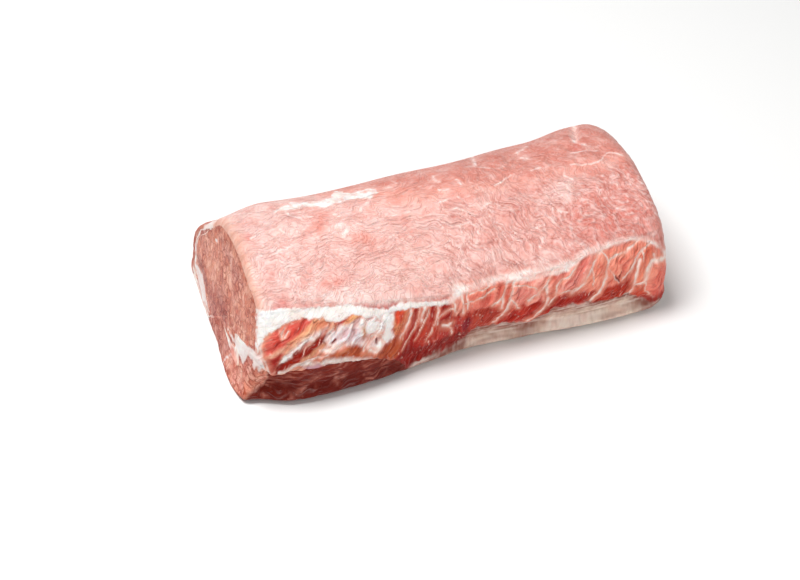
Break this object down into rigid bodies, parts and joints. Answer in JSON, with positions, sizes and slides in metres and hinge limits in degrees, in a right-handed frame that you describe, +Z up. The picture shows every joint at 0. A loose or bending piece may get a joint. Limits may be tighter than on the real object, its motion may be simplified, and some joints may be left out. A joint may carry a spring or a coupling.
{
  "type": "boneless pork loin",
  "caption": "Raw boneless pork loin roast: a long trimmed piece of meat with cut ends, a red strip along one side and a fat layer beneath.",
  "frame": {"origin": "centre of the bounding box, at the table that the loin lies on", "axes": "+X along the loin to its thick round end, +Y from the backbone side with the red strip to the belly side, +Z up"},
  "size_m": [0.2636, 0.1397, 0.07],
  "materials": {
    "pale_lean": "moist satin",
    "red_lean": "moist satin",
    "back_fat": "waxy satin",
    "pink_lean": "moist satin",
    "flap_lean": "moist satin"
  },
  "bodies": {
    "root": {"loin_eye": "pale_lean", "backbone_strip": "red_lean", "fat_layer": "back_fat", "under_lean": "pink_lean", "belly_flap": "flap_lean"}
  },
  "joints": []
}
